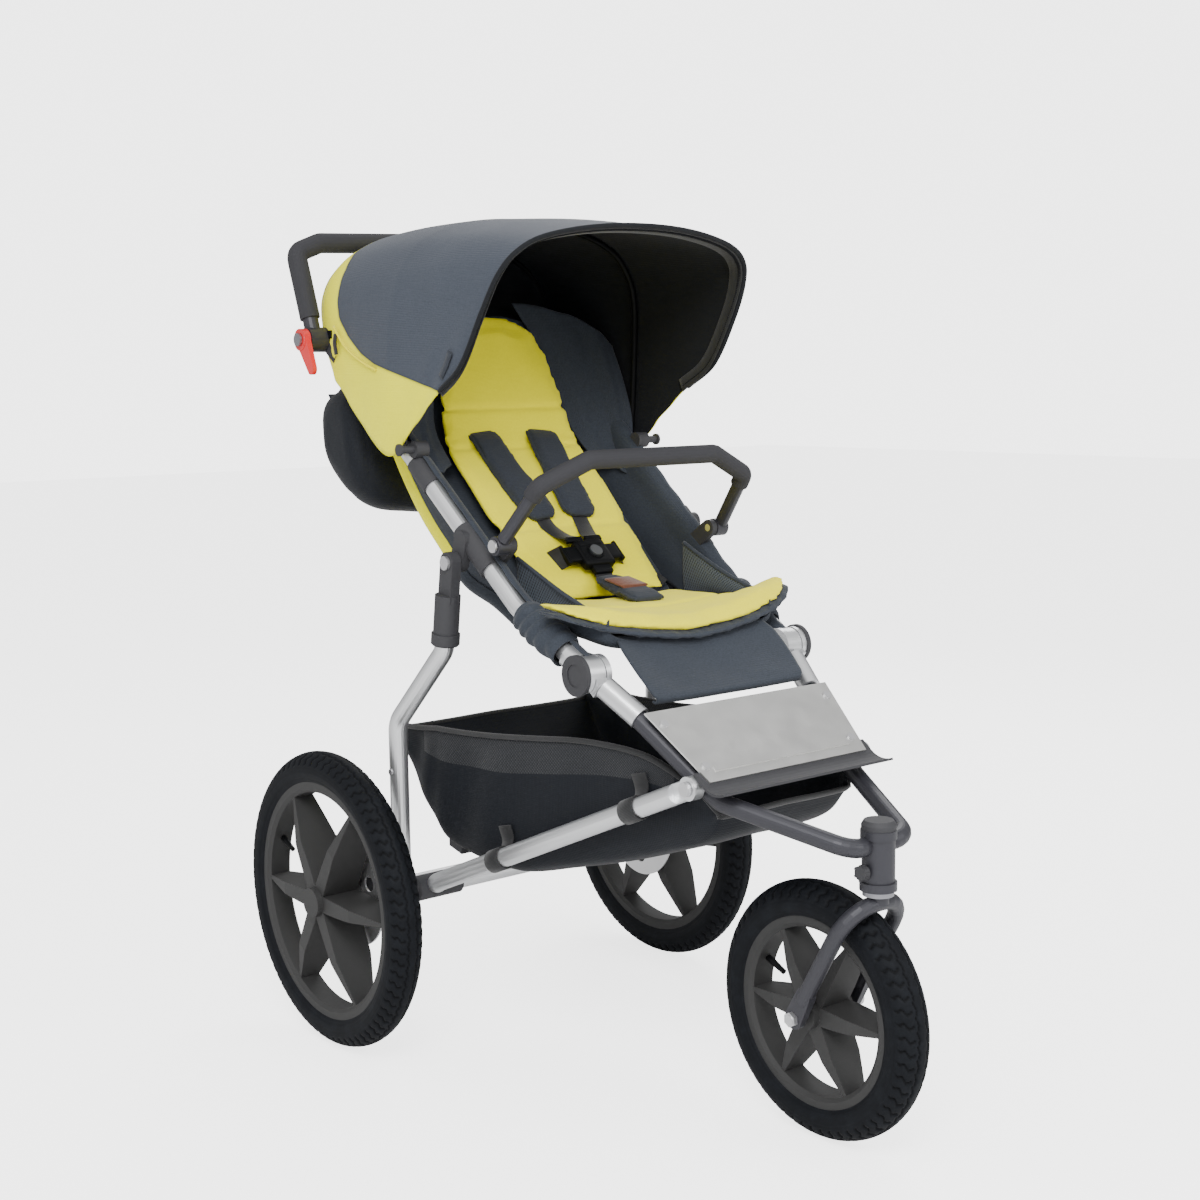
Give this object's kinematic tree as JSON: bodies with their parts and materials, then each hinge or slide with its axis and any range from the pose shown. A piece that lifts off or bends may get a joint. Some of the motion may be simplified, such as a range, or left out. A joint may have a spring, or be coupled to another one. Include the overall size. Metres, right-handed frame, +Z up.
{
  "type": "baby stroller",
  "caption": "Folding jogging stroller: aluminium frame, swivelling front wheel, spoked air tyres, padded seat, canopy, basket, grab bar and tilting handlebar.",
  "frame": {"origin": "on the floor under the middle of the tyres' outer length and width", "axes": "+Z up, the stroller's front points along -Y; left (-X) and right (+X) in the names are as seen from in front"},
  "size_m": [0.654, 0.9914, 1.119],
  "materials": {
    "anodised_aluminium": "brushed satin anodised",
    "black_paint": "semi-gloss powder coat",
    "black_plastic": "fine moulded texture",
    "button_plastic": "satin",
    "steel": "zinc plated",
    "bearing_steel": "dark",
    "red_plastic": "glossy moulded",
    "foam_grip": "closed-cell foam",
    "wheel_plastic": "satin moulded",
    "tyre_rubber": "matte rubber",
    "grey_fabric": "woven polyester canvas",
    "yellow_fabric": "padded twill",
    "dark_fabric": "coated nylon and mesh",
    "strap_fabric": "padded nylon webbing"
  },
  "bodies": {
    "chassis": {"lower_rails": "anodised_aluminium", "rear_axle": "steel", "axle_brackets": "black_plastic", "brake_calipers": "black_plastic", "basket": "dark_fabric"},
    "rear_legs": {"rear_legs": "anodised_aluminium", "leg_sleeves": "black_plastic", "leg_bolts": "steel"},
    "rear_wheel_left": {"rear_wheel_left": "wheel_plastic", "rear_tyre_left": "tyre_rubber", "brake_disc_left": "steel"},
    "rear_wheel_right": {"rear_wheel_right": "wheel_plastic", "rear_tyre_right": "tyre_rubber", "brake_disc_right": "steel"},
    "brake_pedal": {"brake_pedal": "black_plastic"},
    "front_frame": {"front_frame_tube": "black_paint", "hub_sleeves": "anodised_aluminium", "head_cap": "black_plastic", "footplate": "anodised_aluminium", "footplate_bolts": "steel", "foot_lip": "black_plastic", "rail_pivot_bolts": "steel"},
    "steering_lock": {"steering_lock_knob": "black_plastic"},
    "fork": {"fork": "black_paint", "fork_bearing": "bearing_steel", "front_axle": "steel"},
    "quick_release": {"quick_release_lever": "steel"},
    "front_wheel": {"front_wheel": "wheel_plastic", "front_tyre": "tyre_rubber"},
    "side_frame": {"side_tubes": "anodised_aluminium", "hub_castings": "anodised_aluminium", "hub_pins": "steel", "hub_caps": "black_plastic", "frame_brackets": "black_plastic", "handle_hubs": "black_plastic", "handle_bolts": "bearing_steel", "grab_bar_pins": "steel", "seat_base": "grey_fabric", "side_panels": "grey_fabric", "seat_pad": "yellow_fabric", "leg_panel": "grey_fabric", "crotch_pad": "strap_fabric", "harness_buckle": "black_plastic", "canopy_pivots": "black_plastic", "canopy_rear": "yellow_fabric"},
    "handlebar": {"handlebar_tube": "black_paint", "handlebar_grip": "foam_grip"},
    "release_lever_left": {"release_lever_left": "red_plastic"},
    "release_lever_right": {"release_lever_right": "red_plastic"},
    "grab_bar": {"grab_bar_tube": "black_paint", "grab_bar_foam": "foam_grip"},
    "buckle_button": {"buckle_button": "button_plastic"},
    "seat_back": {"seat_back": "grey_fabric", "back_pad": "yellow_fabric", "shoulder_pads": "strap_fabric", "parent_bag": "dark_fabric"},
    "canopy_mid": {"canopy_mid": "grey_fabric"},
    "canopy_front": {"canopy_front": "grey_fabric", "canopy_bow": "black_paint"}
  },
  "joints": [
    {"name": "frame_fold", "type": "hinge", "parent": "front_frame", "child": "side_frame", "pos_m": [0, -0.11275, 0.547], "axis": [-1, 0, 0], "range_deg": [0, 100], "deforming": ["leg_panel", "basket"]},
    {"name": "rail_hinge", "type": "hinge", "parent": "chassis", "child": "front_frame", "pos_m": [0, -0.26675, 0.431], "axis": [1, 0, 0], "range_deg": [0, 65.8]},
    {"name": "leg_hinge", "type": "hinge", "parent": "chassis", "child": "rear_legs", "pos_m": [0, 0.22425, 0.215], "axis": [1, 0, 0], "range_deg": [0, 23.4]},
    {"name": "rear_wheel_left_spin", "type": "hinge", "parent": "chassis", "child": "rear_wheel_left", "pos_m": [-0.292, 0.29425, 0.2015], "axis": [1, 0, 0], "continuous": true},
    {"name": "rear_wheel_right_spin", "type": "hinge", "parent": "chassis", "child": "rear_wheel_right", "pos_m": [0.292, 0.29425, 0.2015], "axis": [1, 0, 0], "continuous": true},
    {"name": "brake_pedal_hinge", "type": "hinge", "parent": "chassis", "child": "brake_pedal", "pos_m": [0, 0.29425, 0.2015], "axis": [-1, 0, 0], "range_deg": [0, 20]},
    {"name": "fork_swivel", "type": "hinge", "parent": "front_frame", "child": "fork", "pos_m": [0, -0.42575, 0.35], "axis": [0, 0, 1], "continuous": true},
    {"name": "front_wheel_spin", "type": "hinge", "parent": "fork", "child": "front_wheel", "pos_m": [0, -0.34075, 0.155], "axis": [1, 0, 0], "continuous": true},
    {"name": "quick_release_turn", "type": "hinge", "parent": "fork", "child": "quick_release", "pos_m": [0.057, -0.34075, 0.155], "axis": [-1, 0, 0], "range_deg": [0, 60]},
    {"name": "steering_lock_turn", "type": "hinge", "parent": "front_frame", "child": "steering_lock", "pos_m": [-0.022, -0.42575, 0.344], "axis": [-1, 0, 0], "range_deg": [0, 90]},
    {"name": "handlebar_tilt", "type": "hinge", "parent": "side_frame", "child": "handlebar", "pos_m": [0, 0.41625, 0.955], "axis": [-1, 0, 0], "range_deg": [0, 60]},
    {"name": "release_lever_left_squeeze", "type": "hinge", "parent": "side_frame", "child": "release_lever_left", "pos_m": [-0.24, 0.41625, 0.955], "axis": [1, 0, 0], "range_deg": [0, 25], "stiffness_Nm_per_rad": 0.5, "springref_deg": -11.46},
    {"name": "release_lever_right_squeeze", "type": "hinge", "parent": "side_frame", "child": "release_lever_right", "pos_m": [0.24, 0.41625, 0.955], "axis": [1, 0, 0], "range_deg": [0, 25], "stiffness_Nm_per_rad": 0.5, "springref_deg": -11.46},
    {"name": "grab_bar_swing", "type": "hinge", "parent": "side_frame", "child": "grab_bar", "pos_m": [0, 0.03825, 0.692], "axis": [1, 0, 0], "range_deg": [0, 35]},
    {"name": "seat_recline", "type": "hinge", "parent": "side_frame", "child": "seat_back", "pos_m": [0, 0.04725, 0.6], "axis": [1, 0, 0], "range_deg": [-25, 0]},
    {"name": "canopy_fold", "type": "hinge", "parent": "side_frame", "child": "canopy_front", "pos_m": [0, 0.20925, 0.808], "axis": [-1, 0, 0], "range_deg": [0, 60]},
    {"name": "canopy_mid_fold", "type": "hinge", "parent": "side_frame", "child": "canopy_mid", "pos_m": [0, 0.20925, 0.808], "axis": [-1, 0, 0], "range_deg": [0, 21.5]},
    {"name": "buckle_button_press", "type": "slide", "parent": "side_frame", "child": "buckle_button", "axis": [0, 0.6691, -0.7431], "range_m": [0, 0.002], "stiffness_N_per_m": 300, "springref_m": -0.002}
  ],
  "couplings": [
    {"joint": "rail_hinge", "follows": "frame_fold", "ratio": 0.653},
    {"joint": "leg_hinge", "follows": "frame_fold", "ratio": 0.229},
    {"joint": "canopy_mid_fold", "follows": "canopy_fold", "ratio": 0.35}
  ]
}
